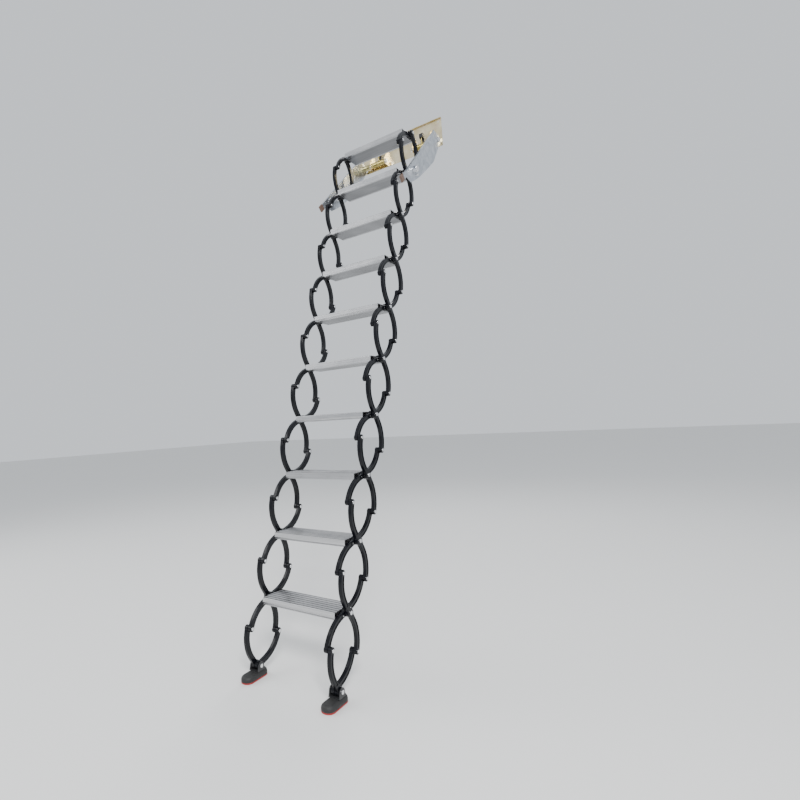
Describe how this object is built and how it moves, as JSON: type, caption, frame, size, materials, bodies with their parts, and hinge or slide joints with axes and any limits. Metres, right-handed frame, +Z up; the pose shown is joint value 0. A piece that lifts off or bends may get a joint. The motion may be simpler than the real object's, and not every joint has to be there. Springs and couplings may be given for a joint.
{
  "type": "scissor attic ladder",
  "caption": "Concertina attic ladder of black S-shaped arms with channel treads, sprung on a swing frame from a wall plate and standing on rubber feet.",
  "frame": {"origin": "centre of the wall plate's rear face, at the centre of its four corner holes", "axes": "+Z up, +Y out of the back of the plate into the wall, +X across the ladder"},
  "size_m": [0.596, 1.4776, 3.018],
  "materials": {
    "arm_black": "black semi-gloss powder coat on cast aluminium",
    "bright_fixings": "bright plated rivets, bolts and pins",
    "tread_aluminium": "satin mill finish, brushed along the length",
    "yellow_zinc": "yellow passivated zinc plate",
    "clear_zinc": "clear zinc plated sheet, slightly cloudy",
    "spring_steel": "yellow passivated spring wire",
    "black_steel": "black painted steel and castings",
    "tip_plastic": "dull brown moulded cap",
    "shoe_rubber": "matt black rubber"
  },
  "bodies": {
    "mount": {"wall_plate": "yellow_zinc", "shaft_brackets": "yellow_zinc", "stub_shafts": "bright_fixings", "shaft_nuts": "bright_fixings", "torsion_springs": "spring_steel", "spring_anchors": "black_steel"},
    "swing_frame": {"side_plate_left": "clear_zinc", "side_plate_right": "clear_zinc", "hub_tubes": "clear_zinc", "tip_covers": "tip_plastic", "stop_pins": "bright_fixings", "hanging_pivots": "bright_fixings", "pivot_caps": "bright_fixings"},
    "A_0": {"inner_arms_0": "arm_black", "rivets_0": "bright_fixings"},
    "B_0": {"outer_arms_0": "arm_black"},
    "A_1": {"inner_arms_1": "arm_black", "rivets_1": "bright_fixings", "tread_1": "tread_aluminium"},
    "B_1": {"outer_arms_1": "arm_black"},
    "A_2": {"inner_arms_2": "arm_black", "rivets_2": "bright_fixings", "tread_2": "tread_aluminium"},
    "B_2": {"outer_arms_2": "arm_black"},
    "A_3": {"inner_arms_3": "arm_black", "rivets_3": "bright_fixings", "tread_3": "tread_aluminium"},
    "B_3": {"outer_arms_3": "arm_black"},
    "A_4": {"inner_arms_4": "arm_black", "rivets_4": "bright_fixings", "tread_4": "tread_aluminium"},
    "B_4": {"outer_arms_4": "arm_black"},
    "A_5": {"inner_arms_5": "arm_black", "rivets_5": "bright_fixings", "tread_5": "tread_aluminium"},
    "B_5": {"outer_arms_5": "arm_black"},
    "A_6": {"inner_arms_6": "arm_black", "rivets_6": "bright_fixings", "tread_6": "tread_aluminium"},
    "B_6": {"outer_arms_6": "arm_black"},
    "A_7": {"inner_arms_7": "arm_black", "rivets_7": "bright_fixings", "tread_7": "tread_aluminium"},
    "B_7": {"outer_arms_7": "arm_black"},
    "A_8": {"inner_arms_8": "arm_black", "rivets_8": "bright_fixings", "tread_8": "tread_aluminium"},
    "B_8": {"outer_arms_8": "arm_black"},
    "A_9": {"inner_arms_9": "arm_black", "rivets_9": "bright_fixings", "tread_9": "tread_aluminium"},
    "B_9": {"outer_arms_9": "arm_black"},
    "A_10": {"inner_arms_10": "arm_black", "rivets_10": "bright_fixings", "tread_10": "tread_aluminium"},
    "B_10": {"outer_arms_10": "arm_black"},
    "foot_left": {"foot_bracket_left": "black_steel", "foot_shoe_left": "shoe_rubber"},
    "foot_right": {"foot_bracket_right": "black_steel", "foot_shoe_right": "shoe_rubber"}
  },
  "joints": [
    {"name": "frame_swing", "type": "hinge", "parent": "mount", "child": "swing_frame", "pos_m": [0, -0.04, -0.065], "axis": [-1, 0, 0], "range_deg": [0, 65]},
    {"name": "fold", "type": "hinge", "parent": "swing_frame", "child": "A_9", "pos_m": [0, -0.44, -0.41], "axis": [-1, 0, 0], "range_deg": [0, 47]},
    {"name": "fold_b9", "type": "hinge", "parent": "swing_frame", "child": "B_9", "pos_m": [0, -0.44, -0.41], "axis": [1, 0, 0], "range_deg": [0, 50]},
    {"name": "fold_b8", "type": "hinge", "parent": "A_9", "child": "B_8", "pos_m": [0, -0.58268, -0.51242], "axis": [1, 0, 0], "range_deg": [0, 100]},
    {"name": "fold_a8", "type": "hinge", "parent": "B_8", "child": "A_8", "pos_m": [0, -0.54518, -0.684], "axis": [-1, 0, 0], "range_deg": [0, 100]},
    {"name": "fold_b7", "type": "hinge", "parent": "A_8", "child": "B_7", "pos_m": [0, -0.68786, -0.78642], "axis": [1, 0, 0], "range_deg": [0, 100]},
    {"name": "fold_a7", "type": "hinge", "parent": "B_7", "child": "A_7", "pos_m": [0, -0.65036, -0.958], "axis": [-1, 0, 0], "range_deg": [0, 100]},
    {"name": "fold_b6", "type": "hinge", "parent": "A_7", "child": "B_6", "pos_m": [0, -0.79304, -1.06042], "axis": [1, 0, 0], "range_deg": [0, 100]},
    {"name": "fold_a6", "type": "hinge", "parent": "B_6", "child": "A_6", "pos_m": [0, -0.75554, -1.232], "axis": [-1, 0, 0], "range_deg": [0, 100]},
    {"name": "fold_b5", "type": "hinge", "parent": "A_6", "child": "B_5", "pos_m": [0, -0.89822, -1.33442], "axis": [1, 0, 0], "range_deg": [0, 100]},
    {"name": "fold_a5", "type": "hinge", "parent": "B_5", "child": "A_5", "pos_m": [0, -0.86072, -1.506], "axis": [-1, 0, 0], "range_deg": [0, 100]},
    {"name": "fold_b4", "type": "hinge", "parent": "A_5", "child": "B_4", "pos_m": [0, -1.0034, -1.60842], "axis": [1, 0, 0], "range_deg": [0, 100]},
    {"name": "fold_a4", "type": "hinge", "parent": "B_4", "child": "A_4", "pos_m": [0, -0.96589, -1.78], "axis": [-1, 0, 0], "range_deg": [0, 100]},
    {"name": "fold_b3", "type": "hinge", "parent": "A_4", "child": "B_3", "pos_m": [0, -1.10857, -1.88242], "axis": [1, 0, 0], "range_deg": [0, 100]},
    {"name": "fold_a3", "type": "hinge", "parent": "B_3", "child": "A_3", "pos_m": [0, -1.07107, -2.054], "axis": [-1, 0, 0], "range_deg": [0, 100]},
    {"name": "fold_b2", "type": "hinge", "parent": "A_3", "child": "B_2", "pos_m": [0, -1.21375, -2.15642], "axis": [1, 0, 0], "range_deg": [0, 100]},
    {"name": "fold_a2", "type": "hinge", "parent": "B_2", "child": "A_2", "pos_m": [0, -1.17625, -2.328], "axis": [-1, 0, 0], "range_deg": [0, 100]},
    {"name": "fold_b1", "type": "hinge", "parent": "A_2", "child": "B_1", "pos_m": [0, -1.31893, -2.43042], "axis": [1, 0, 0], "range_deg": [0, 100]},
    {"name": "fold_a1", "type": "hinge", "parent": "B_1", "child": "A_1", "pos_m": [0, -1.28143, -2.602], "axis": [-1, 0, 0], "range_deg": [0, 100]},
    {"name": "fold_b0", "type": "hinge", "parent": "A_1", "child": "B_0", "pos_m": [0, -1.42411, -2.70442], "axis": [1, 0, 0], "range_deg": [0, 100]},
    {"name": "fold_a0", "type": "hinge", "parent": "B_0", "child": "A_0", "pos_m": [0, -1.38661, -2.876], "axis": [-1, 0, 0], "range_deg": [0, 100]},
    {"name": "fold_a10", "type": "hinge", "parent": "B_9", "child": "A_10", "pos_m": [0, -0.4775, -0.23842], "axis": [-1, 0, 0], "range_deg": [0, 100]},
    {"name": "fold_b10", "type": "hinge", "parent": "A_10", "child": "B_10", "pos_m": [0, -0.33482, -0.136], "axis": [1, 0, 0], "range_deg": [0, 100]},
    {"name": "foot_left_tip", "type": "hinge", "parent": "A_0", "child": "foot_left", "pos_m": [0, -1.38661, -2.876], "axis": [1, 0, 0], "range_deg": [0, 30]},
    {"name": "foot_right_tip", "type": "hinge", "parent": "A_0", "child": "foot_right", "pos_m": [0, -1.38661, -2.876], "axis": [1, 0, 0], "range_deg": [0, 30]}
  ],
  "couplings": [
    {"joint": "fold_b9", "follows": "fold", "ratio": 1},
    {"joint": "fold_b8", "follows": "fold", "ratio": 2},
    {"joint": "fold_a8", "follows": "fold", "ratio": 2},
    {"joint": "fold_b7", "follows": "fold", "ratio": 2},
    {"joint": "fold_a7", "follows": "fold", "ratio": 2},
    {"joint": "fold_b6", "follows": "fold", "ratio": 2},
    {"joint": "fold_a6", "follows": "fold", "ratio": 2},
    {"joint": "fold_b5", "follows": "fold", "ratio": 2},
    {"joint": "fold_a5", "follows": "fold", "ratio": 2},
    {"joint": "fold_b4", "follows": "fold", "ratio": 2},
    {"joint": "fold_a4", "follows": "fold", "ratio": 2},
    {"joint": "fold_b3", "follows": "fold", "ratio": 2},
    {"joint": "fold_a3", "follows": "fold", "ratio": 2},
    {"joint": "fold_b2", "follows": "fold", "ratio": 2},
    {"joint": "fold_a2", "follows": "fold", "ratio": 2},
    {"joint": "fold_b1", "follows": "fold", "ratio": 2},
    {"joint": "fold_a1", "follows": "fold", "ratio": 2},
    {"joint": "fold_b0", "follows": "fold", "ratio": 2},
    {"joint": "fold_a0", "follows": "fold", "ratio": 2},
    {"joint": "fold_a10", "follows": "fold", "ratio": 2},
    {"joint": "fold_b10", "follows": "fold", "ratio": 2},
    {"joint": "foot_left_tip", "follows": "fold", "ratio": 0.6},
    {"joint": "foot_right_tip", "follows": "fold", "ratio": 0.6}
  ]
}
